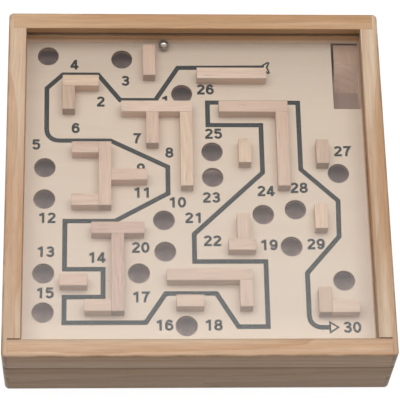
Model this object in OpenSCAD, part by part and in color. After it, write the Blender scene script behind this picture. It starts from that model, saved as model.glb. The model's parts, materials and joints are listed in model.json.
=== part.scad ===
// Hand-held ball labyrinth: a wooden box with a clear cover over a maze board.
// Millimetres. +X is to the player's right, +Y to the back, +Z up.
// The origin is the middle of the underside.

/* [Box] */
// Outside width, left to right
box_w = 210; // [150:1:280]
// Outside depth, front to back
box_d = 210; // [150:1:280]
// Outside height
box_h = 48; // [36:1:70]
// Thickness of the wooden rails
rail_t = 10; // [8:0.5:14]
// Thickness of the side rails' lips over the ends of the cross rails
lip_t = 3; // [2:0.5:4]
// Height of the cross rails' fingers, which part the lips and show at the sides
finger_h = 15; // [8:0.5:18]
// Radius of the outside upright corners
corner_r = 2.5; // [0.5:0.25:3]
// Gap between the front rails and the side rails' shoulders
shoulder_gap = 0.4; // [0.1:0.1:1]

/* [Panels] */
// Depth of the grooves in the rails
groove_d = 3; // [2:0.25:4]
// Room between a panel's edge and the bottom of its groove
groove_room = 0.3; // [0.1:0.1:0.6]
// Room between a panel's upper face and its groove
groove_slip = 0.1; // [0.05:0.05:0.3]
// Thickness of the clear cover
cover_t = 2; // [1.5:0.25:3]
// Depth of the cover's upper face below the top of the rails
cover_drop = 6.5; // [3:0.25:9]
// Thickness of the maze board
board_t = 3; // [2:0.25:5]
// Thickness of the floor panel
floor_t = 3; // [2:0.25:5]

/* [Ball] */
// Diameter of the ball
ball_d = 6; // [5:0.1:8]
// Room over the ball, under the cover
ball_room = 2; // [0.3:0.1:3]
// Room over the ball on the floor, under the board
floor_room = 1.5; // [0.5:0.1:4]
// Running gap between the ball and the board and back rail
ball_gap = 0.2; // [0.1:0.05:0.25]
// Gap between the resting ball and the wall strip beside it
ball_aside = 2; // [0.5:0.1:4]

/* [Maze] */
// Diameter of the drop holes
hole_d = 12; // [8:0.5:14]
// Width of the wall strips
strip_w = 7; // [4:0.5:9]
// Gap between the wall strips and the cover
strip_gap = 1; // [0.5:0.1:2]
// Width of the return notch in the board's corner
notch_w = 15.5; // [12:0.5:20]
// Length of the return notch
notch_l = 43; // [36:0.5:60]

/* [Return ramp] */
// Gap between the ramp and the board beside it
ramp_gap = 1.5; // [1:0.25:4]
// Gap between the ramp and the back rail
ramp_back = 1; // [0.5:0.25:3]
// Length of the flat landing
landing_l = 12; // [8:0.5:16]
// Drop of the landing below the board's upper face
landing_drop = 0.3; // [0.2:0.1:1]
// Length of the slope, seen from above
slope_l = 14; // [8:0.5:20]

/* [Hidden] */
$fn = 48;
// Overshoot of a cut past a face
cut = 1;

// The open field inside the rails
field_w = box_w - 2 * rail_t;
field_d = box_d - 2 * rail_t;
// Length of the cross rails, from lip to lip, and the places of their front faces
cross_l = box_w - 2 * lip_t;
front_y = -box_d / 2;
back_y = box_d / 2 - rail_t;
// Reach of a panel's edge past the field, into its groove
reach = groove_d - groove_room;

// Levels, from the top of the rails down
cover_z = box_h - cover_drop - cover_t;
play_h = ball_d + ball_room;
board_top = cover_z - play_h;
board_z = board_top - board_t;
floor_top = board_z - ball_d - floor_room;
floor_z = floor_top - floor_t;
strip_h = play_h - strip_gap;
landing_z = board_top - landing_drop;

// Side of the square field that the maze is laid out on
plan = 190;
function at_x(x) = x * field_w / plan;
function at_y(y) = y * field_d / plan;

// Centres of the drop holes on the plan
holes = [
    [-83, 86], [-41, 84], [-7, 61.5],
    [-84, 14.5], [-84, -5], [-84, -50], [-84, -73],
    [-18, -18], [-17.5, -37], [-32, -50],
    [9.5, 24.5], [9.5, 8.5],
    [37, -14.5], [55, -11.5], [52, -34],
    [80, 11], [80, -54.5], [-6.5, -81]
];

// Wall strips on the plan: the way the strip runs, the line that it is centred on,
// then each end as a place and a side. Side 0 is a free end at that place. Side -1 or 1
// ends the strip at that face of the strip that is centred there.
strips = [
    ["y", -25.5, [70, 0], [90, 0]],
    ["x", 66.5, [-71, -1], [-54, 0]],
    ["y", -71, [48, 0], [66.5, -1]],
    ["x", 50, [-41.5, 0], [-5, 1]],
    ["y", -24, [26.5, 0], [50, -1]],
    ["y", -5, [0, 0], [50, -1]],
    ["x", 24, [-69, 0], [-50.5, -1]],
    ["y", -50.5, [-8.5, -1], [24, 1]],
    ["x", 7, [-50.5, 1], [-27, 0]],
    ["x", -8.5, [-69, 0], [-50.5, -1]],
    ["x", -25.5, [-58, 0], [-29, 0]],
    ["y", -43.5, [-71.5, -1], [-25.5, -1]],
    ["x", -71.5, [-61.5, 0], [-43.5, -1]],
    ["x", -56.5, [-75, 0], [-60, 0]],
    ["x", -53.5, [-17, 0], [26, 1]],
    ["y", 26, [-72.5, 0], [-53.5, -1]],
    ["x", -69, [-12, 0], [3, 0]],
    ["y", 25.5, [-35.5, 1], [-17, 0]],
    ["x", -35.5, [17, 0], [32, 0]],
    ["y", 68.5, [-26, 0], [-11, 0]],
    ["y", 68.5, [-72.5, -1], [-61, 0]],
    ["x", -72.5, [68.5, 1], [87, 0]],
    ["x", 71.5, [1.5, 0], [41, 0]],
    ["x", 50, [13.5, 0], [49, 1]],
    ["y", 49, [0, 0], [50, -1]],
    ["y", 27.5, [14.5, 0], [29.5, 0]],
    ["y", 71, [14, 0], [29, 0]]
];
// The strip that the ball rests beside
ball_strip = strips[0];
ball_x = at_x(ball_strip[1]) + strip_w / 2 + ball_aside + ball_d / 2;
ball_y = field_d / 2 - ball_gap - ball_d / 2;

function strip_name(i) = str("wall_strip_", i < 9 ? "0" : "", i + 1);

// What is left of an upright square edge outside its rounding, at the origin's corner
module corner_waste(r) {
    difference() {
        translate([-cut, -cut, -cut])
            cube([r + cut, r + cut, box_h + 2 * cut]);
        translate([r, r, -2 * cut])
            cylinder(r = r, h = box_h + 4 * cut);
    }
}

// The rounding of the four outside corners, taken off what reaches into them
module outside_corners() {
    round_r = min(corner_r, lip_t);
    for (side = [0, 1], end = [0, 1])
        mirror([side, 0, 0])
            mirror([0, end, 0])
                translate([-box_w / 2, -box_d / 2, 0])
                    corner_waste(round_r);
}

// A cross rail's two fingers as one bar, from one outside face to the other
module fingers(y) {
    translate([-box_w / 2, y, board_top - finger_h])
        cube([box_w, rail_t, finger_h]);
}

// The grooves' slots round the field, at each level given as a height and a thickness
module panel_slots(levels) {
    for (level = levels)
        translate([-field_w / 2 - groove_d, -field_d / 2 - groove_d, level[0]])
            cube([field_w + 2 * groove_d, field_d + 2 * groove_d, level[1] + groove_slip]);
}

module all_slots() {
    panel_slots([[cover_z, cover_t], [board_z, board_t], [floor_z, floor_t]]);
}

// A side rail on the left, rebated at its ends for the cross rails and their fingers
module side_rail() {
    difference() {
        translate([-box_w / 2, -box_d / 2, 0])
            cube([rail_t, box_d, box_h]);
        translate([-cross_l / 2, front_y - cut, -cut])
            cube([rail_t, rail_t + shoulder_gap + cut, box_h + 2 * cut]);
        translate([-cross_l / 2, back_y, -cut])
            cube([rail_t, rail_t + cut, box_h + 2 * cut]);
        fingers(front_y);
        fingers(back_y);
        outside_corners();
        all_slots();
    }
}

// A cross rail with its front face at y, up to height h, with its fingers
module cross_rail(y, h) {
    difference() {
        union() {
            translate([-cross_l / 2, y, 0])
                cube([cross_l, rail_t, h]);
            fingers(y);
        }
        outside_corners();
        all_slots();
    }
}

module left_rail() {
    color("burlywood")
        side_rail();
}

module right_rail() {
    color("burlywood")
        mirror([1, 0, 0])
            side_rail();
}

module back_rail() {
    color("tan")
        cross_rail(back_y, box_h);
}

// Stands under the closing strip, with a rebate that carries the board's front edge
module front_rail() {
    color("peru")
        cross_rail(front_y, board_top);
}

module closing_strip() {
    color("tan")
        difference() {
            translate([-cross_l / 2, front_y, board_top])
                cube([cross_l, rail_t, box_h - board_top]);
            panel_slots([[cover_z, cover_t]]);
        }
}

// A panel that fills the field and reaches into the grooves
module panel(z, t) {
    translate([-field_w / 2 - reach, -field_d / 2 - reach, z])
        cube([field_w + 2 * reach, field_d + 2 * reach, t]);
}

module clear_cover() {
    color("aliceblue", 0.3)
        panel(cover_z, cover_t);
}

module maze_board() {
    color("wheat")
        difference() {
            panel(board_z, board_t);
            for (p = holes)
                translate([at_x(p[0]), at_y(p[1]), board_z - cut])
                    cylinder(d = hole_d, h = board_t + 2 * cut);
            translate([field_w / 2 - notch_w, field_d / 2 - notch_l, board_z - cut])
                cube([notch_w + groove_d, notch_l + groove_d, board_t + 2 * cut]);
        }
}

module floor_panel() {
    color("rosybrown")
        panel(floor_z, floor_t);
}

// Landing at the board's level, then a slope down to the floor
module return_ramp() {
    back = field_d / 2 - ramp_back;
    crest = back - landing_l;
    color("sandybrown")
        translate([field_w / 2 - notch_w + ramp_gap, 0, 0])
            rotate([90, 0, 90])
                linear_extrude(notch_w - ramp_gap)
                    polygon([
                        [back, floor_top], [back, landing_z],
                        [crest, landing_z], [crest - slope_l, floor_top]
                    ]);
}

// One wall strip, glued on the board
module wall_strip(strip) {
    along_x = strip[0] == "x";
    line = along_x ? at_y(strip[1]) : at_x(strip[1]);
    ends = [for (e = [strip[2], strip[3]])
        (along_x ? at_x(e[0]) : at_y(e[0])) + e[1] * strip_w / 2];
    length = ends[1] - ends[0];
    corner = along_x ? [ends[0], line - strip_w / 2] : [line - strip_w / 2, ends[0]];
    size = along_x ? [length, strip_w] : [strip_w, length];
    color("bisque")
        translate([corner[0], corner[1], board_top])
            cube([size[0], size[1], strip_h]);
}

module steel_ball() {
    color("silver")
        translate([ball_x, ball_y, board_top + ball_gap + ball_d / 2])
            sphere(d = ball_d);
}

left_rail();
right_rail();
back_rail();
front_rail();
closing_strip();
clear_cover();
maze_board();
floor_panel();
return_ramp();
steel_ball();
for (i = [0 : len(strips) - 1])
    wall_strip(strips[i]);
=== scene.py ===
import json
from math import cos, hypot, pi, radians, sin

import bmesh
import bpy
from mathutils import Matrix, Vector


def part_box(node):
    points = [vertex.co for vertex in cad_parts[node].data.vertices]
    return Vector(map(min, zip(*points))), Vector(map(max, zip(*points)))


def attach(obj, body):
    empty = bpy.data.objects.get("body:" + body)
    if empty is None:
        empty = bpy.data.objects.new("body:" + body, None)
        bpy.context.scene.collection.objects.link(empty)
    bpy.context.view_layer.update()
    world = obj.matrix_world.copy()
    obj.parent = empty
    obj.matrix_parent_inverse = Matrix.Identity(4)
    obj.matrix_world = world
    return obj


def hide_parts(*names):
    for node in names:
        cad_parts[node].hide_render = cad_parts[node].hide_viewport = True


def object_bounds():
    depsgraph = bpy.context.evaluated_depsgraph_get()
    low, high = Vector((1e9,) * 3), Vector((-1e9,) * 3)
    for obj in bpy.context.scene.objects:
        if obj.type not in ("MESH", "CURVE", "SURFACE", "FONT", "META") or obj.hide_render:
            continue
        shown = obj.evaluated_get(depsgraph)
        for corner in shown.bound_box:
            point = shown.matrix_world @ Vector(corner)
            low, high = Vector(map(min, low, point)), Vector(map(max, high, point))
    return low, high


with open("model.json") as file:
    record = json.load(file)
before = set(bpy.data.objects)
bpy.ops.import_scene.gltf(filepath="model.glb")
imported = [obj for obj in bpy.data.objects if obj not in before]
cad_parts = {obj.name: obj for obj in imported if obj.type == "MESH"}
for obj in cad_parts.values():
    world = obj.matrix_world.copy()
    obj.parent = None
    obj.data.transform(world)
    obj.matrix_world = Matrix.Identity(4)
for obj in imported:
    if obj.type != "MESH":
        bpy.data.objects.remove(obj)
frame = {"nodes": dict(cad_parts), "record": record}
cad_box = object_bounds()
scene = bpy.context.scene

# Side rails: two planed pine rails that run the full depth of the box. Their ends are rebated
# to a thin lip over the end of each cross rail, and slotted for its finger, and are glued there.
# The glued box was sanded, so its outside edges are rounded over and its joints lie flush.
mm = 0.001
outside = cad_box[1].x
rail_top = cad_box[1].z
rail_width = 10 * mm
rail_inside = outside - rail_width
lip_width = 3 * mm
shoulder_gap = 0.4 * mm
corner_radius = 2.5 * mm
outer_round = 1.3 * mm
rim_round = 0.5 * mm
joint_round = 0.35 * mm
touch = 0.05 * mm


def on_skin(point):
    """Whether a point is on the upright outside of the box, with its rounded corners."""
    across, along = (abs(part) - outside + corner_radius for part in point.xy)
    reach = hypot(across, along) if min(across, along) > 0 else max(across, along)
    return reach > corner_radius - touch


def on_outside(point):
    """Edges that run round the outside of the box, along its top and its bottom."""
    return on_skin(point) and not touch < point.z < rail_top - touch


def on_joint(point):
    """Edges where two pieces meet, on the upright outside of the box or beside a lip on its top."""
    upright = on_skin(point) and touch < point.z < rail_top - touch
    beside_lip = abs(abs(point.x) - outside + lip_width) < touch
    return upright or (beside_lip and abs(point.z - rail_top) < touch)


def on_rim(point):
    """Edges that run round the open field, along the top of the rails."""
    reach = max(abs(point.x), abs(point.y))
    return abs(point.z - rail_top) < touch and abs(reach - rail_inside) < touch


def on_shoulder(point):
    """The edge at a side rail's front end, which stands a little off the closing strip."""
    off = point.y + rail_inside
    return abs(point.z - rail_top) < touch and abs(off - shoulder_gap) < touch


def solid(name, shape):
    """A finished shape as a piece of the scene."""
    mesh = bpy.data.meshes.new(name)
    shape.to_mesh(mesh)
    shape.free()
    piece = bpy.data.objects.new(name, mesh)
    scene.collection.objects.link(piece)
    return piece


def eased(node, cuts):
    """A piece for a CAD node: its mesh merged, then the edges that each cut picks rounded over."""
    shape = bmesh.new()
    shape.from_mesh(frame["nodes"][node].data)
    bmesh.ops.remove_doubles(shape, verts=shape.verts, dist=0.001 * mm)
    bmesh.ops.dissolve_limit(
        shape, angle_limit=radians(0.5), verts=shape.verts, edges=shape.edges
    )
    for picks, radius in cuts:
        marked = [
            edge
            for edge in shape.edges
            if edge.calc_face_angle(0) > radians(40)
            and picks((edge.verts[0].co + edge.verts[1].co) / 2)
        ]
        bmesh.ops.bevel(
            shape, geom=marked, offset=radius, offset_type="OFFSET", affect="EDGES",
            segments=3, profile=0.5, material=-1, clamp_overlap=True,
        )
    piece = solid(node + "_wood", shape)
    piece.data.shade_smooth()
    piece.data.set_sharp_from_angle(angle=radians(30))
    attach(piece, "case")
    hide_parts(node)
    return piece


def linear(code):
    """An sRGB hex colour as linear red, green, blue and alpha."""
    parts = [int(code[i : i + 2], 16) / 255 for i in (1, 3, 5)]
    return [c / 12.92 if c <= 0.04045 else ((c + 0.055) / 1.055) ** 2.4 for c in parts] + [1]


def put(tree, kind, into, **settings):
    """Adds a node with its settings, and its sockets' values or the sockets that feed them.

    Sockets go by name or by number. MapRange takes the span from 1 to 2 to the span from 3 to 4,
    and Mix goes from 6 to 7 in colours and from 2 to 3 in numbers.
    """
    made = tree.nodes.new("ShaderNode" + kind)
    for name, value in settings.items():
        setattr(made, name, value)
    for name, value in into.items():
        if isinstance(value, bpy.types.NodeSocket):
            tree.links.new(value, made.inputs[name])
        else:
            made.inputs[name].default_value = value
    return made


def surfaced(name):
    """A new material, its node tree, its shader, and the place on the piece for its patterns."""
    material = bpy.data.materials.new(name)
    material.use_nodes = True
    tree = material.node_tree
    place = put(tree, "TexCoord", {}).outputs["Object"]
    return material, tree, tree.nodes["Principled BSDF"], place


def planed_wood(
    name, along, pale, deep, blush, ring, pith, lean, late=0.6, check=0.3, core=None, sawn=0.62
):
    """Solid wood with its rings round a pith that lies along one axis.

    The rings' width and the pith's place are in millimetres, and the pith leans by some degrees.
    Late is how dark the latewood is, and check how dark the drying checks are. Where the cut comes
    nearest to the heart, it is darker: core gives the middle and the half length of that stretch.
    The sawn ends keep a part of the colour.
    """
    wood, tree, skin, place = surfaced(name)

    def drawn_out(length, width):
        """A pattern's scale from its length along the grain and its width, in millimetres."""
        return [1 / (length if axis == along else width) / mm for axis in "XYZ"]

    # The rings wander by a few millimetres over a hand's length
    bends = put(tree, "Mapping", {"Vector": place, "Scale": drawn_out(110, 22)})
    sway = put(tree, "TexNoise", {"Vector": bends.outputs[0], "Scale": 1, "Detail": 2})
    level = put(tree, "VectorMath", {0: sway.outputs["Color"], 1: [-0.5] * 3})
    grown = put(
        tree,
        "VectorMath",
        {0: level.outputs[0], 1: [9 * mm] * 3, 2: place},
        operation="MULTIPLY_ADD",
    )
    seat = put(
        tree,
        "Mapping",
        {
            "Vector": grown.outputs[0],
            "Location": [part * mm for part in pith],
            "Rotation": [radians(part) for part in lean],
        },
        vector_type="TEXTURE",
    )
    # One band of a wave is a tenth of pi across at a scale of 1
    rings = put(
        tree,
        "TexWave",
        {"Vector": seat.outputs[0], "Scale": pi / 10 / (ring * mm)},
        wave_type="RINGS",
        rings_direction=along,
        wave_profile="SAW",
    )
    latewood = put(tree, "Math", {0: rings.outputs["Fac"], 1: 2.2}, operation="POWER")
    dark = put(tree, "Math", {0: latewood.outputs[0], 1: late}, operation="MULTIPLY")
    # Broad streaks where the heart of the plank shows, about 5 mm by 150 mm
    bands = put(tree, "Mapping", {"Vector": place, "Scale": drawn_out(150, 5)})
    streak = put(tree, "TexNoise", {"Vector": bands.outputs[0], "Scale": 1, "Detail": 3})
    heart = put(tree, "MapRange", {0: streak.outputs["Fac"], 1: 0.38, 2: 0.66})
    if core:
        middle, half = (part * mm for part in core)
        spot = put(tree, "SeparateXYZ", {0: place})
        off = put(tree, "Math", {0: spot.outputs[along], 1: middle}, operation="SUBTRACT")
        away = put(tree, "Math", {0: off.outputs[0]}, operation="ABSOLUTE")
        near = put(
            tree,
            "MapRange",
            {0: away.outputs[0], 2: half, 3: 0.2, 4: -0.12},
            interpolation_type="SMOOTHSTEP",
        )
        bared = put(tree, "Math", {0: streak.outputs["Fac"], 1: near.outputs[0]})
        tree.links.new(bared.outputs[0], heart.inputs[0])
    # Fibres are finer than a pixel, so they are drawn 0.7 mm wide to show
    threads = put(tree, "Mapping", {"Vector": place, "Scale": drawn_out(16, 0.7)})
    fibre = put(tree, "TexNoise", {"Vector": threads.outputs[0], "Scale": 1, "Detail": 3})
    marked = put(tree, "MapRange", {0: fibre.outputs["Fac"], 1: 0.3, 2: 0.7, 3: 0.9, 4: 1.08})
    # The ends of the fibres drink the light
    facing = put(tree, "NewGeometry", {})
    axis = [1 if part == along else 0 for part in "XYZ"]
    meets = put(
        tree, "VectorMath", {0: facing.outputs["Normal"], 1: axis}, operation="DOT_PRODUCT"
    )
    ends = put(tree, "Math", {0: meets.outputs["Value"]}, operation="ABSOLUTE")
    shade = put(tree, "MapRange", {0: ends.outputs[0], 1: 0.6, 2: 0.95, 3: 1, 4: sawn})
    tone = put(tree, "Math", {0: marked.outputs[0], 1: shade.outputs[0]}, operation="MULTIPLY")
    # Pores and drying checks: a few hairlines about 12 mm long, drawn 0.5 mm wide
    cracks = put(tree, "Mapping", {"Vector": place, "Scale": drawn_out(12, 0.5)})
    crack = put(tree, "TexNoise", {"Vector": cracks.outputs[0], "Scale": 1, "Detail": 1})
    few = 0.72 - 0.1 * check
    split = {0: crack.outputs["Fac"], 1: few, 2: few + 0.07, 3: 1, 4: 1 - check}
    line = put(tree, "MapRange", split)
    toned = put(tree, "Math", {0: tone.outputs[0], 1: line.outputs[0]}, operation="MULTIPLY")
    body = put(
        tree, "Mix", {0: heart.outputs[0], 6: linear(pale), 7: linear(blush)}, data_type="RGBA"
    )
    grain = put(
        tree, "Mix", {0: dark.outputs[0], 6: body.outputs[2], 7: linear(deep)}, data_type="RGBA"
    )
    colour = put(
        tree,
        "Mix",
        {0: 1, 6: grain.outputs[2], 7: toned.outputs[0]},
        data_type="RGBA",
        blend_type="MULTIPLY",
    )
    tree.links.new(colour.outputs[2], skin.inputs["Base Color"])
    satin = put(tree, "MapRange", {0: fibre.outputs["Fac"], 1: 0.3, 2: 0.7, 3: 0.6, 4: 0.48})
    tree.links.new(satin.outputs[0], skin.inputs["Roughness"])
    relief = put(
        tree, "Bump", {"Height": fibre.outputs["Fac"], "Distance": 0.08 * mm, "Strength": 0.5}
    )
    tree.links.new(relief.outputs[0], skin.inputs["Normal"])
    skin.inputs["IOR"].default_value = 1.45
    return wood


def stained(wood, share, tint, **way):
    """Lays a tint over a wood's colour, by a share that is a number or comes from its nodes."""
    tree = wood.node_tree
    colour = tree.nodes["Principled BSDF"].inputs["Base Color"]
    sockets = {0: share, 6: colour.links[0].from_socket, 7: tint}
    laid = put(tree, "Mix", sockets, data_type="RGBA", **way)
    tree.links.new(laid.outputs[2], colour)


def spans(tree):
    """A point's distance from the box's middle across and along, the larger, and its height."""
    spot = put(tree, "SeparateXYZ", {0: put(tree, "TexCoord", {}).outputs["Object"]})
    across = put(tree, "Math", {0: spot.outputs["X"]}, operation="ABSOLUTE").outputs[0]
    along = put(tree, "Math", {0: spot.outputs["Y"]}, operation="ABSOLUTE").outputs[0]
    reach = put(tree, "Math", {0: across, 1: along}, operation="MAXIMUM").outputs[0]
    return across, along, reach, spot.outputs["Z"]


def walled(pine, shade_share):
    """Paints shade in browns on a rail's inner wall over the cover, by a share that the second
    argument gives.

    Under the cover, painted bounce light makes the wall paler towards the board.
    """
    tree = pine.node_tree
    reach, height = spans(tree)[2:]
    wall = put(tree, "Math", {0: reach, 1: rail_inside + touch}, operation="LESS_THAN")
    over = put(tree, "Math", {0: height, 1: cover_high}, operation="GREATER_THAN")
    bounce_span = {0: height, 1: board_level, 2: board_level + bounce_high, 3: 0.8, 4: 0}
    bounce_light = put(tree, "MapRange", bounce_span)
    shade_span = {0: height, 1: cover_high, 2: rail_top, 3: 0.95 * shade_share, 4: 0.6 * shade_share}
    painted_shade = put(tree, "MapRange", shade_span)
    share = put(tree, "Mix", {0: over.outputs[0], 2: bounce_light.outputs[0], 3: painted_shade.outputs[0]})
    # A painted shadow of the groove's gap lies darkest where the wall meets the cover, and fades
    # out above it
    gap_shadow_rise = {0: height, 1: cover_high + gap_shadow_deep, 2: cover_high + gap_shadow_high, 3: 1, 4: 0}
    near = put(tree, "MapRange", gap_shadow_rise)
    brown = put(
        tree,
        "Mix",
        {0: near.outputs[0], 6: linear("#A2784F"), 7: linear("#3A200C")},
        data_type="RGBA",
    )
    tint = put(
        tree,
        "Mix",
        {0: over.outputs[0], 6: linear("#FBE0C4"), 7: brown.outputs[2]},
        data_type="RGBA",
    )
    amount = put(tree, "Math", {0: share.outputs[0], 1: wall.outputs[0]}, operation="MULTIPLY")
    stained(pine, amount.outputs[0], tint.outputs[2])


def handled(pine):
    """Hands have dirtied the top's rounded edge in patches of 2 to 15 mm. Dust fills the finger
    joints.
    """
    tree = pine.node_tree
    across, along, reach, height = spans(tree)
    out = {0: reach, 1: outside - soil_wide, 2: outside - soil_full}
    beside = put(tree, "MapRange", out)
    high = {0: height, 1: rail_top - soil_wide, 2: rail_top - soil_full}
    above = put(tree, "MapRange", high)
    edge = put(tree, "Math", {0: beside.outputs[0], 1: above.outputs[0]}, operation="MULTIPLY")
    place = put(tree, "TexCoord", {}).outputs["Object"]
    patch = put(tree, "TexNoise", {"Vector": place, "Scale": 1 / (15 * mm), "Detail": 5})
    dirt = put(tree, "MapRange", {0: patch.outputs["Fac"], 1: 0.38, 2: 0.66, 3: 0, 4: 0.7})
    amount = put(tree, "Math", {0: edge.outputs[0], 1: dirt.outputs[0]}, operation="MULTIPLY")
    stained(pine, amount.outputs[0], linear("#7A5A3E"))
    # Dark lines along the top and the bottom of each finger, where it crosses the lip
    off = put(tree, "Math", {0: height, 1: finger_middle}, operation="SUBTRACT")
    away = put(tree, "Math", {0: off.outputs[0]}, operation="ABSOLUTE")
    brink = {0: away.outputs[0], 1: finger_high / 2, 2: finger_dust / 2}
    line = put(tree, "Math", brink, operation="COMPARE")
    lip = {0: across, 1: outside - lip_width, 2: outside - lip_width + touch, 4: 0.75}
    outer = put(tree, "MapRange", lip)
    end = put(tree, "Math", {0: along, 1: rail_inside}, operation="GREATER_THAN")
    joint = put(tree, "Math", {0: outer.outputs[0], 1: end.outputs[0]}, operation="MULTIPLY")
    darkening = put(tree, "Math", {0: line.outputs[0], 1: joint.outputs[0]}, operation="MULTIPLY")
    stained(pine, darkening.outputs[0], linear("#4A3524"))


board_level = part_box("maze_board")[1].z
cover_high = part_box("clear_cover")[1].z
# How far the painted bounce light and the painted shadow of the cover's groove reach on the walls,
# and the dirt and the dust on the edges and the fingers
bounce_high = 4 * mm
gap_shadow_deep = 0.8 * mm
gap_shadow_high = 1.8 * mm
soil_wide = 1.5 * mm
soil_full = 0.4 * mm
finger_high = 15 * mm
finger_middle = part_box("front_rail")[1].z - finger_high / 2
finger_dust = 0.8 * mm
# Planed pine: pale tan earlywood with orange-brown latewood lines, satin from the plane
left_pine = planed_wood(
    "planed_pine_left", "Y", "#D2B79B", "#BC906C", "#C59D7C",
    ring=4.5, pith=(-128, 0, -20), lean=(1.5, 0, 2.2), core=(-30, 85),
)
right_pine = planed_wood(
    "planed_pine_right", "Y", "#D6BDA2", "#B68D69", "#B9906A",
    ring=5, pith=(135, 0, -30), lean=(-1.2, 0, -2.6), core=(-3, 110),
)
# The side walls are better lit than the back wall, so less shade is painted on them than on the
# cross rails' walls
side_wall_shade = 0.25
# The left rail's front shoulder is chipped wider than the right one's
chip = {"left_rail": 0.3 * mm, "right_rail": 0.1 * mm}
for node, pine in (("left_rail", left_pine), ("right_rail", right_pine)):
    rail = eased(
        node,
        (
            (on_outside, outer_round),
            (on_rim, rim_round),
            (on_joint, joint_round),
            (on_shoulder, chip[node]),
        ),
    )
    walled(pine, side_wall_shade)
    handled(pine)
    rail.data.materials.append(pine)

# Cross rails: the back rail is as high as the sides. The front rail stops at the board's top,
# so that the board and the cover can be slid in over it. Both are pine, with a finger at each
# end that goes through the side rail and shows its end grain there.
seam_round = 0.8 * mm
# The cross rails' walls get the full share of painted shade
cross_wall_shade = 1


def on_seam(point):
    """The edge along the front, where the front rail and the closing strip meet."""
    return abs(point.z - board_level) < touch and abs(point.y + outside) < touch


back_pine = planed_wood(
    "planed_pine_back", "X", "#CEAC88", "#AF8760", "#BE936C",
    ring=5.5, pith=(0, 128, -40), lean=(0, 1, 1.6), core=(20, 170),
)
front_pine = planed_wood(
    "planed_pine_front", "X", "#B8997A", "#967451", "#A98766",
    ring=5, pith=(0, -150, 0), lean=(0, -1.2, 1.4),
)
for node, pine, slot in (
    ("back_rail", back_pine, "rail_wood"),
    ("front_rail", front_pine, "front_wood"),
):
    rail = eased(
        node,
        (
            (on_outside, outer_round),
            (on_rim, rim_round),
            (on_seam, seam_round),
            (on_joint, joint_round),
        ),
    )
    walled(pine, cross_wall_shade)
    handled(pine)
    rail.data.materials.append(pine)
# A painted shadow of the closing strip lies along the seam under it, and fades out 3 mm below it
tree = front_pine.node_tree
spot = put(tree, "SeparateXYZ", {0: put(tree, "TexCoord", {}).outputs["Object"]})
face = put(tree, "Math", {0: spot.outputs["Y"], 1: 1 * mm - outside}, operation="LESS_THAN")
seam_shadow = {0: spot.outputs["Z"], 1: board_level - 3 * mm, 2: board_level - 1 * mm, 3: 0, 4: 0.45}
darkening = put(tree, "MapRange", seam_shadow)
amount = put(tree, "Math", {0: face.outputs[0], 1: darkening.outputs[0]}, operation="MULTIPLY")
stained(front_pine, amount.outputs[0], linear("#5E4632"))

# Floor panel: a thin sheet of brown hardboard in the rails' lowest groove. It catches the ball
# when it drops through the board, and shows only through the holes and the return opening.
hardboard, tree, skin, place = surfaced("pressed_hardboard")
# Pressed fibre: a felt of short threads, about 1.5 mm, with a slight sheen from the hot plate
felt = put(tree, "TexNoise", {"Vector": place, "Scale": 1 / (1.5 * mm), "Detail": 4})
blotch = put(tree, "TexNoise", {"Vector": place, "Scale": 1 / (35 * mm), "Detail": 2})
speck = put(
    tree,
    "Mix",
    {0: felt.outputs["Fac"], 6: linear("#CBA799"), 7: linear("#E2C1B3")},
    data_type="RGBA",
)
brown = put(
    tree,
    "Mix",
    {0: blotch.outputs["Fac"], 6: speck.outputs[2], 7: linear("#D2AE9F")},
    data_type="RGBA",
)
# Painted shade browns a patch about 40 mm wide at the foot of the return ramp, deep in its opening.
# Heights count eight times, so that hardly any of it shows on the sheet's underside.
panel_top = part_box("floor_panel")[1].z
stretch = Vector((1, 1, 8))
stretched = put(tree, "VectorMath", {0: place, 1: stretch}, operation="MULTIPLY")
ramp_low, ramp_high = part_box("return_ramp")
foot = Vector(((ramp_low.x + ramp_high.x) / 2, ramp_low.y, panel_top))
away = put(tree, "VectorMath", {0: stretched.outputs[0], 1: foot * stretch}, operation="DISTANCE")
foot_shade = put(tree, "MapRange", {0: away.outputs["Value"], 1: 14 * mm, 2: 26 * mm, 3: 0.7, 4: 0})
darkened = put(
    tree,
    "Mix",
    {0: foot_shade.outputs[0], 6: brown.outputs[2], 7: linear("#94745A")},
    data_type="RGBA",
)
# Painted shade darkens a spot about 14 mm across under each hole, where light through the hole
# falls
nearest = 1
for opening in frame["record"]["physics"]["openings"]:
    if opening["name"].startswith("drop_hole"):
        low, high = (Vector(corner) for corner in opening["box_m"])
        below = Vector((*((low + high) / 2).xy, panel_top))
        away = put(
            tree, "VectorMath", {0: stretched.outputs[0], 1: below * stretch}, operation="DISTANCE"
        )
        nearest = put(
            tree, "Math", {0: nearest, 1: away.outputs["Value"]}, operation="MINIMUM"
        ).outputs[0]
hole_shade = put(tree, "MapRange", {0: nearest, 1: 2 * mm, 2: 8.5 * mm, 3: 0.8, 4: 0})
hole_shaded = put(
    tree,
    "Mix",
    {0: hole_shade.outputs[0], 6: darkened.outputs[2], 7: linear("#5A463F")},
    data_type="RGBA",
)
# The sheet is painted darker towards the back, as painted shade, and paler in front, as painted
# light
span = put(tree, "SeparateXYZ", {0: place})
toned = {0: span.outputs["Y"], 1: -rail_inside, 2: rail_inside, 3: 1.25, 4: 0.65}
front_back_light = put(tree, "MapRange", toned)
sheet = put(
    tree,
    "Mix",
    {0: 1, 6: hole_shaded.outputs[2], 7: front_back_light.outputs[0]},
    data_type="RGBA",
    blend_type="MULTIPLY",
)
tree.links.new(sheet.outputs[2], skin.inputs["Base Color"])
press = put(tree, "MapRange", {0: felt.outputs["Fac"], 3: 0.45, 4: 0.65})
tree.links.new(press.outputs[0], skin.inputs["Roughness"])
relief = put(tree, "Bump", {"Height": felt.outputs["Fac"], "Distance": 0.05 * mm, "Strength": 0.4})
tree.links.new(relief.outputs[0], skin.inputs["Normal"])
frame["nodes"]["floor_panel"].material_slots[0].material = hardboard

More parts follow.
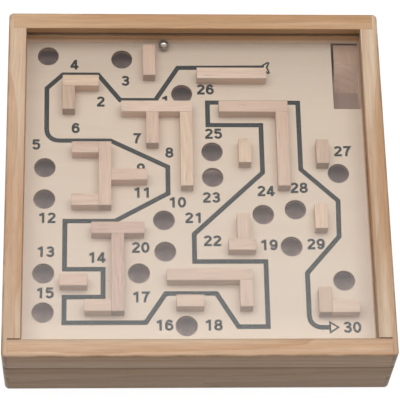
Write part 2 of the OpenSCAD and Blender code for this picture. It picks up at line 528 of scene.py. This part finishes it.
# Return ramp: a beech wedge glued on the floor panel under the board's corner opening. A caught
# ball is rolled up its slope to the landing, which lies just below the board.
landing_depth = 12 * mm
ramp_beech = planed_wood(
    "planed_beech_ramp", "Y", "#CFB09A", "#B08E76", "#C6A590",
    ring=2.5, pith=(70, 0, -30), lean=(0, 0, 2), late=0.4,
)
# The landing is darker than the slope
tree = ramp_beech.node_tree
spot = put(tree, "SeparateXYZ", {0: put(tree, "TexCoord", {}).outputs["Object"]})
crest = ramp_high.y - landing_depth
darkened = put(tree, "MapRange", {0: spot.outputs["Y"], 1: crest - mm, 2: crest + mm, 3: 0, 4: 0.5})
stained(ramp_beech, darkened.outputs[0], linear("#9C775E"))
frame["nodes"]["return_ramp"].material_slots[0].material = ramp_beech

# Maze board: three-ply basswood, sanded and left pale, with drilled drop holes and a sawn
# opening in its corner. It slides in the rails' middle groove. The cut edges show the plies.
ply, tree, skin, place = surfaced("sanded_basswood_ply")
board_low, board_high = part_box("maze_board")
# Basswood has hardly any figure: faint bands 6 mm by 140 mm and fibres drawn 0.6 mm wide
broad = [1 / (140 * mm), 1 / (6 * mm), 1 / (6 * mm)]
bands = put(tree, "Mapping", {"Vector": place, "Scale": broad})
band = put(tree, "TexNoise", {"Vector": bands.outputs[0], "Scale": 1, "Detail": 2})
fine = [1 / (9 * mm), 1 / (0.6 * mm), 1 / (0.6 * mm)]
threads = put(tree, "Mapping", {"Vector": place, "Scale": fine})
fibre = put(tree, "TexNoise", {"Vector": threads.outputs[0], "Scale": 1, "Detail": 3})
face = put(
    tree,
    "Mix",
    {0: band.outputs["Fac"], 6: linear("#DFCDB8"), 7: linear("#D8C2AD")},
    data_type="RGBA",
)
tone = put(tree, "MapRange", {0: fibre.outputs["Fac"], 1: 0.3, 2: 0.7, 3: 0.97, 4: 1.03})
# Painted shade of the back wall darkens the board along the back, and painted light makes it paler
# along the front.
spot = put(tree, "SeparateXYZ", {0: place})
darkening = put(tree, "MapRange", {0: spot.outputs["Y"], 1: 55 * mm, 2: 92 * mm, 3: 1, 4: 0.83})
front_light = put(tree, "MapRange", {0: spot.outputs["Y"], 1: -84 * mm, 2: -74 * mm, 3: 1.13, 4: 1})
toned = put(tree, "Math", {0: darkening.outputs[0], 1: front_light.outputs[0]}, operation="MULTIPLY")
lit_tone = put(tree, "Math", {0: tone.outputs[0], 1: toned.outputs[0]}, operation="MULTIPLY")
# A few dark pin flecks, about 0.7 mm across, in about one of ten squares of 16 mm
spots = put(tree, "TexVoronoi", {"Vector": place, "Scale": 1 / (16 * mm)})
chance = put(tree, "SeparateColor", {0: spots.outputs["Color"]})
chosen = put(tree, "Math", {0: chance.outputs[0], 1: 0.9}, operation="GREATER_THAN")
near = put(tree, "MapRange", {0: spots.outputs["Distance"], 1: 0.012, 2: 0.03, 3: 1, 4: 0})
fleck = put(tree, "Math", {0: chosen.outputs[0], 1: near.outputs[0]}, operation="MULTIPLY")
plain = put(
    tree,
    "Mix",
    {0: 1, 6: face.outputs[2], 7: lit_tone.outputs[0]},
    data_type="RGBA",
    blend_type="MULTIPLY",
)
flecked = put(
    tree,
    "Mix",
    {0: fleck.outputs[0], 6: plain.outputs[2], 7: linear("#8A6F58")},
    data_type="RGBA",
)
# The middle ply runs across, so its end grain is darker between the two faces
middle = put(
    tree,
    "Math",
    {0: spot.outputs["Z"], 1: (board_low.z + board_high.z) / 2, 2: 0.5 * mm},
    operation="COMPARE",
)
core = put(
    tree,
    "Mix",
    {0: middle.outputs[0], 6: linear("#C3A487"), 7: linear("#94724F")},
    data_type="RGBA",
)
facing = put(tree, "NewGeometry", {})
upright = put(tree, "SeparateXYZ", {0: facing.outputs["Normal"]})
flat = put(tree, "Math", {0: upright.outputs["Z"]}, operation="ABSOLUTE")
shown = put(
    tree, "Mix", {0: flat.outputs[0], 6: core.outputs[2], 7: flecked.outputs[2]}, data_type="RGBA"
)
tree.links.new(shown.outputs[2], skin.inputs["Base Color"])
matt = put(tree, "MapRange", {0: fibre.outputs["Fac"], 1: 0.3, 2: 0.7, 3: 0.62, 4: 0.52})
tree.links.new(matt.outputs[0], skin.inputs["Roughness"])
relief = put(tree, "Bump", {"Height": fibre.outputs["Fac"], "Distance": 0.03 * mm, "Strength": 0.4})
tree.links.new(relief.outputs[0], skin.inputs["Normal"])
skin.inputs["IOR"].default_value = 1.45
frame["nodes"]["maze_board"].material_slots[0].material = ply

# Printed route: one slate line screen-printed on the board from the start to the finish, with
# square and rounded turns. It starts in an open arrow tail and ends in an open arrow head.
ink_thickness = 0.05 * mm
route_width = 2.7
outline_width = 0.95


def arc(x, y, wide, high, start, end):
    """Points on an oval round x and y, from one angle to another, about every 15 degrees."""
    steps = max(4, round(abs(end - start) / 15))
    angles = [radians(start + (end - start) * i / steps) for i in range(steps + 1)]
    return [(x + wide * cos(a), y + high * sin(a)) for a in angles]


route = [
    (40, 79), (-9, 78.6), (-22, 57.5), (-42, 57.5), (-54.5, 74), (-74.5, 74), (-83.5, 65),
    *arc(-76.5, 38.5, 6.8, 7, 180, 270), (-47.5, 31.5), (-15.5, 15), (-15.5, -1.5),
    (-45, -18.5), (-72.5, -18.5), (-72.5, -47.5), (-51.5, -47.5), (-51.5, -64), (-72.5, -64),
    (-72.5, -79), (-28.5, -79), (-17.5, -62), (10, -62), (21.5, -81.5), (37.5, -81.5),
    (37.5, -43), (-1.5, -43), (-1.5, -26.5), (37.5, 11.5), (37.5, 41.5), (7.5, 41.5),
    (7.5, 56), (59, 56), (59, 13.5), (79, -6), (78.5, -28), (60, -50),
    *arc(66.5, -75.5, 6.5, 6.5, 180, 270), (71, -82),
]
tail = (
    (40, 80.5), (42.6, 82.2), (43.3, 81.8), (42.1, 79), (43.4, 75.6), (42.8, 75.1), (40, 77.5),
    (40, 80.5),
)
head = ((71, -79), (75.5, -82), (71, -85), (71, -79))


def stroke(shape, path, width, move=(0, 0)):
    """Prints a line of one width along a path in millimetres, with its corners mitred."""
    points = [(Vector(point) + Vector(move)) * mm for point in path]
    closed = (points[0] - points[-1]).length < touch
    if closed:
        points.pop()
    edges = []
    for i, point in enumerate(points):
        ways = []
        if i or closed:
            ways.append((point - points[i - 1]).normalized())
        if closed or i < len(points) - 1:
            ways.append((points[(i + 1) % len(points)] - point).normalized())
        along = (ways[0] + ways[-1]).normalized()
        across = Vector((-along.y, along.x))
        reach = width * mm / 2 / along.dot(ways[0])
        edges.append(
            [shape.verts.new((*(point + across * side), board_high.z)) for side in (reach, -reach)]
        )
    for i in range(len(edges) - (not closed)):
        first, then = edges[i], edges[(i + 1) % len(edges)]
        shape.faces.new((first[0], first[1], then[1], then[0]))


def printed(name, shape):
    """A print's shape raised to the ink's thickness, with its lower half in the board's skin."""
    raised = bmesh.ops.extrude_face_region(shape, geom=shape.faces[:])
    lifted = [part for part in raised["geom"] if isinstance(part, bmesh.types.BMVert)]
    bmesh.ops.translate(shape, verts=lifted, vec=(0, 0, ink_thickness))
    bmesh.ops.translate(shape, verts=shape.verts, vec=(0, 0, -ink_thickness / 2))
    bmesh.ops.recalc_face_normals(shape, faces=shape.faces)
    piece = solid(name, shape)
    piece.data.materials.append(ink)
    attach(piece, "case")


# Screen ink: a matt slate film that lies a little unevenly on the wood's fibres
ink, tree, skin, place = surfaced("slate_screen_ink")
fibres = [1 / (6 * mm), 1 / (0.8 * mm), 1 / (0.8 * mm)]
threads = put(tree, "Mapping", {"Vector": place, "Scale": fibres})
lay = put(tree, "TexNoise", {"Vector": threads.outputs[0], "Scale": 1, "Detail": 3})
film = put(
    tree,
    "Mix",
    {0: lay.outputs["Fac"], 6: linear("#1A1C1A"), 7: linear("#282B28")},
    data_type="RGBA",
)
tree.links.new(film.outputs[2], skin.inputs["Base Color"])
matt = put(tree, "MapRange", {0: lay.outputs["Fac"], 3: 0.6, 4: 0.8})
tree.links.new(matt.outputs[0], skin.inputs["Roughness"])
skin.inputs["IOR"].default_value = 1.25

route_shape = bmesh.new()
stroke(route_shape, route, route_width)
stroke(route_shape, tail, outline_width)
stroke(route_shape, head, outline_width)
printed("printed_route", route_shape)

# Printed numbers: plain bold figures 6.4 mm high, one beside each hazard along the route, in the
# same ink as the line and from the same screen.
figure_high = 6.4
figure_wide = 6.7
figure_step = 5.2
figure_line = 1.4
# The figures are drawn on a plan that is 6 high and wide, as lines down their middles
plan = 6
figures = {
    "0": [arc(0, 0, 1.45, 2.43, 0, 360)],
    "1": [[(-1.4, 1.6), (-0.5, 1.7), (0, 2.05), (0.25, 2.6)], [(0.5, 3), (0.5, -3)]],
    "2": [arc(0, 1.2, 1.4, 1.22, 170, -40) + [(-1.3, -2.1)], [(-1.9, -2.43), (1.95, -2.43)]],
    "3": [arc(0, 1.3, 1.3, 1.13, 165, -90) + [(-0.6, 0.17)], arc(0, -1.13, 1.45, 1.3, 90, -165)],
    "4": [[(0.7, 3), (0.7, -3)], [(0.5, 2.5), (-1.6, -1.2)], [(-2.1, -1.3), (2.1, -1.3)]],
    "5": [[(1.6, 2.43), (-1.1, 2.43), (-1.35, 0.1)], arc(0, -0.85, 1.45, 1.58, 150, -160)],
    "6": [arc(0, -0.93, 1.42, 1.5, 0, 360), arc(0.1, 0, 1.52, 2.43, 35, 205)],
    "7": [[(-1.9, 2.43), (1.3, 2.43), (0.3, 0.7), (-0.3, -1.1), (-0.5, -3)]],
    "8": [arc(0, 1.3, 1.25, 1.13, 0, 360), arc(0, -1.18, 1.47, 1.25, 0, 360)],
    "9": [arc(0, 0.93, 1.42, 1.5, 0, 360), arc(-0.1, 0, 1.52, 2.43, 215, 385)],
}
places = (
    (-16.5, 57), (-53, 56.5), (-39, 70), (-68, 80.5), (-89, 29), (-67, 39.5), (-32.5, 33),
    (-14.5, 24), (-30.5, 14), (-10.5, -7), (-30, -1), (-82.5, -16.5), (-83, -37),
    (-55, -40.5), (-83, -61.5), (-18.5, -80.5), (-31, -64), (8, -80.5), (39.5, -33),
    (-31, -34.5), (-1.5, -16.5), (8.5, -30.5), (8.5, -4), (39, 0), (10.5, 36), (6.5, 64.5),
    (83, 25), (57.5, 2), (65.5, -32.5), (83, -82),
)
number_shape = bmesh.new()
for number, (x, y) in enumerate(places, 1):
    digits = str(number)
    for i, digit in enumerate(digits):
        side = (i - (len(digits) - 1) / 2) * figure_step
        for path in figures[digit]:
            drawn = [(px * figure_wide / plan, py * figure_high / plan) for px, py in path]
            stroke(number_shape, drawn, figure_line, (x + side, y))
printed("printed_numbers", number_shape)

# Wall strips: pink beech strips glued on the board's print, the walls of the maze. They are sawn
# to length and tumbled a little, so their edges are only just softened.
strip_round = 0.25 * mm
# Steamed beech: pinkish, with a fine grain of short darker flecks. The strips were cut from sticks
# of several tones, so each stick is a wood of its own: its colours, how much it has split in
# drying, and the numbers of the strips from it.
sticks = (
    ("rosy", "#DDBEA6", "#C29F86", "#D6B59F", 0.5, "01 05 07 08 09 10 14 24 25"),
    ("sandy", "#E3C6AA", "#CAA688", "#DCBDA1", 0.5, "02 06 20 26"),
    ("pale", "#E6CBB4", "#CFAF97", "#E0C3AE", 0.5, "04 23"),
    ("fair", "#DBBEA6", "#C3A188", "#D5B7A1", 0.5, "13 15 16 17 18 19 22"),
    ("split", "#D1B09C", "#BA9680", "#CBAB97", 0.75, "11 12"),
    ("dull", "#CEB198", "#B49279", "#C7A790", 0.5, "03 21 27"),
)
for stick, pale, deep, blush, check, numbers in sticks:
    beech = {
        along: planed_wood(
            "steamed_beech_" + stick + "_" + along.lower(), along, pale, deep, blush,
            ring=2.2, pith=(20, 30, -60), lean=(1.5, 1.5, 3), late=0.35, check=check, sawn=0.7,
        )
        for along in "XY"
    }
    for number in numbers.split():
        node = "wall_strip_" + number
        low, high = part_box(node)
        size = high - low
        shape = bmesh.new()
        bmesh.ops.create_cube(
            shape,
            size=1,
            matrix=Matrix.Translation((low + high) / 2) @ Matrix.Diagonal((*size, 1)),
        )
        bmesh.ops.bevel(
            shape, geom=shape.edges[:], offset=strip_round, offset_type="OFFSET", affect="EDGES",
            segments=2, profile=0.5, material=-1, clamp_overlap=True,
        )
        strip = solid(node + "_wood", shape)
        strip.data.shade_smooth()
        strip.data.set_sharp_from_angle(angle=radians(50))
        strip.data.materials.append(beech["X" if size.x > size.y else "Y"])
        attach(strip, "case")
        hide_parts(node)

# Steel ball: a polished bearing ball, 6 mm across, ground and lapped from hard steel. It lies
# loose on the board, and rolls along the lanes as the box is tilted.
low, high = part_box("steel_ball")
shape = bmesh.new()
bmesh.ops.create_icosphere(
    shape, subdivisions=5, radius=(high.x - low.x) / 2, matrix=Matrix.Translation((low + high) / 2)
)
ball = solid("polished_ball", shape)
ball.data.shade_smooth()
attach(ball, "ball")
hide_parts("steel_ball")
# Bearing steel: a fine polish, dulled here and there by handling, in patches about 1 mm wide
steel, tree, skin, place = surfaced("polished_bearing_steel")
skin.inputs["Metallic"].default_value = 1
smudge = put(tree, "TexNoise", {"Vector": place, "Scale": 1 / (1 * mm), "Detail": 3})
bright = put(
    tree,
    "Mix",
    {0: smudge.outputs["Fac"], 6: linear("#AAA296"), 7: linear("#928A7E")},
    data_type="RGBA",
)
tree.links.new(bright.outputs[2], skin.inputs["Base Color"])
polish = put(tree, "MapRange", {0: smudge.outputs["Fac"], 1: 0.3, 2: 0.7, 3: 0.05, 4: 0.14})
tree.links.new(polish.outputs[0], skin.inputs["Roughness"])
ball.data.materials.append(steel)

# Clear cover: a 2 mm sheet of cast acrylic in the rails' top groove, a millimetre over the
# strips, so that the ball can't jump a wall. Light goes through it and its face mirrors a little.
acrylic, tree, skin, place = surfaced("clear_cast_acrylic")
tree.nodes.remove(skin)
facing = put(tree, "NewGeometry", {})
# Only faces that are met from outside mirror, because the light isn't bent inside the sheet
bounce = put(tree, "Fresnel", {"IOR": 1.49})
outer = put(tree, "Math", {0: 1, 1: facing.outputs["Backfacing"]}, operation="SUBTRACT")
mirrored = put(tree, "Math", {0: bounce.outputs[0], 1: outer.outputs[0]}, operation="MULTIPLY")
# Wiping leaves hazy patches about 40 mm wide
haze = put(tree, "TexNoise", {"Vector": place, "Scale": 1 / (40 * mm), "Detail": 4})
gloss = put(tree, "MapRange", {0: haze.outputs["Fac"], 1: 0.3, 2: 0.7, 3: 0.05, 4: 0.12})
through = put(tree, "BsdfTransparent", {"Color": linear("#FCFCFC")})
shine = put(tree, "BsdfGlossy", {"Color": linear("#FFFFFF"), "Roughness": gloss.outputs[0]})
sheet = put(tree, "MixShader", {0: mirrored.outputs[0], 1: through.outputs[0], 2: shine.outputs[0]})
tree.links.new(sheet.outputs[0], tree.nodes["Material Output"].inputs["Surface"])
frame["nodes"]["clear_cover"].material_slots[0].material = acrylic

# Closing strip: the upper part of the front, put on last, which shuts the board and the cover in.
# It was planed from a paler pine plank than the front rail, and a fine seam shows between them.
strip_pine = planed_wood(
    "planed_pine_closing", "X", "#D8B99B", "#B88961", "#CDA481",
    ring=3.2, pith=(0, -92, 20), lean=(0, 0.6, 0.9),
)
strip = eased(
    "closing_strip", ((on_outside, outer_round), (on_rim, rim_round), (on_joint, joint_round))
)
walled(strip_pine, cross_wall_shade)
handled(strip_pine)
strip.data.materials.append(strip_pine)
# Painted shade darkens the front face, turned from the lamp, and a painted shadow darkens the top
# towards its edge beside the cover
tree = strip_pine.node_tree
spot = put(tree, "SeparateXYZ", {0: put(tree, "TexCoord", {}).outputs["Object"]})
front_face_shade = {0: spot.outputs["Y"], 1: 0.2 * mm - outside, 2: 0.8 * mm - outside, 3: 0.84, 4: 1}
face = put(tree, "MapRange", front_face_shade)
beside = {0: spot.outputs["Y"], 1: -rail_inside - 3 * mm, 2: -rail_inside}
near = put(tree, "MapRange", beside)
close = put(tree, "Math", {0: near.outputs[0], 1: 2}, operation="POWER")
brink = put(tree, "MapRange", {0: close.outputs[0], 3: 1, 4: 0.7})
marked = put(tree, "Math", {0: face.outputs[0], 1: brink.outputs[0]}, operation="MULTIPLY")
stained(strip_pine, 1, marked.outputs[0], blend_type="MULTIPLY")

# Studio: a plain pale floor under the box, one wide soft lamp overhead and a dim even sky. The
# floor and the sky are white where they are seen, straight, in a mirror or through something clear.
floor_half = 3


def looked_at(tree):
    """Whether a ray comes from the camera, straight, off a mirror or through something clear."""
    ray = put(tree, "LightPath", {})
    mirror = put(
        tree,
        "Math",
        {0: ray.outputs["Is Glossy Ray"], 1: ray.outputs["Is Transmission Ray"]},
        operation="MAXIMUM",
    )
    direct = {0: ray.outputs["Is Camera Ray"], 1: mirror.outputs[0]}
    return put(tree, "Math", direct, operation="MAXIMUM").outputs[0]


shape = bmesh.new()
bmesh.ops.create_grid(shape, x_segments=1, y_segments=1, size=floor_half)
floor = solid("studio_floor", shape)
paper, tree, skin, place = surfaced("white_paper")
tree.nodes.remove(skin)
lit = put(tree, "BsdfDiffuse", {"Color": linear("#AEACAA")})
shaded = put(tree, "BsdfDiffuse", {"Color": linear("#646464")})
# It whitens from 0.4 m to 1.5 m from the box's middle, so that its far edge doesn't show
spread = put(tree, "VectorMath", {0: place}, operation="LENGTH")
whiter = put(tree, "MapRange", {0: spread.outputs["Value"], 1: 0.4, 2: 1.5, 3: 0.95, 4: 1})
glow = put(tree, "Emission", {"Color": linear("#FFFFFF"), "Strength": whiter.outputs[0]})
white = put(tree, "AddShader", {0: shaded.outputs[0], 1: glow.outputs[0]})
both = put(tree, "MixShader", {0: looked_at(tree), 1: lit.outputs[0], 2: white.outputs[0]})
tree.links.new(both.outputs[0], tree.nodes["Material Output"].inputs["Surface"])
floor.data.materials.append(paper)

sky = bpy.data.worlds.new("studio_sky")
sky.use_nodes = True
scene.world = sky
tree = sky.node_tree
dim = tree.nodes["Background"]
dim.inputs["Color"].default_value = linear("#FFFFFF")
dim.inputs["Strength"].default_value = 0.33
bright = put(tree, "Background", {"Color": linear("#FFFFFF"), "Strength": 1})
both = put(tree, "MixShader", {0: looked_at(tree), 1: dim.outputs[0], 2: bright.outputs[0]})
tree.links.new(both.outputs[0], tree.nodes["World Output"].inputs["Surface"])

lamp_data = bpy.data.lights.new("overhead_softbox", "AREA")
lamp_data.shape = "RECTANGLE"
lamp_data.size = 2.2
lamp_data.size_y = 1.1
lamp_data.energy = 25
lamp = bpy.data.objects.new("overhead_softbox", lamp_data)
lamp.location = (-0.05, 0.42, 1.5)
scene.collection.objects.link(lamp)
# The softbox dims from 0.45 m behind the box's middle to its own far edge, at 0.97 m, so that its
# mirror image fades over the cover
lamp_data.use_nodes = True
tree = lamp_data.node_tree
spot = put(tree, "NewGeometry", {})
span = put(tree, "SeparateXYZ", {0: spot.outputs["Position"]})
fade = put(
    tree,
    "MapRange",
    {0: span.outputs["Y"], 1: 0.45, 2: 0.97, 3: 1, 4: 0},
    interpolation_type="SMOOTHSTEP",
)
tree.links.new(fade.outputs[0], tree.nodes["Emission"].inputs["Strength"])

# Camera: in front of the box and above it, a little to the left. Its lens is long, without shift,
# so it stands more than a metre off.
camera_data = bpy.data.cameras.new("camera")
camera_data.sensor_width = 36
camera_data.lens = 182.9
camera = bpy.data.objects.new("camera", camera_data)
camera.location = (-0.0486, -0.4992, 1.0436)
camera.rotation_mode = "ZYX"
camera.rotation_euler = (radians(26), radians(-2.58), radians(0.01))
scene.collection.objects.link(camera)
scene.camera = camera
scene.view_settings.view_transform = "Standard"
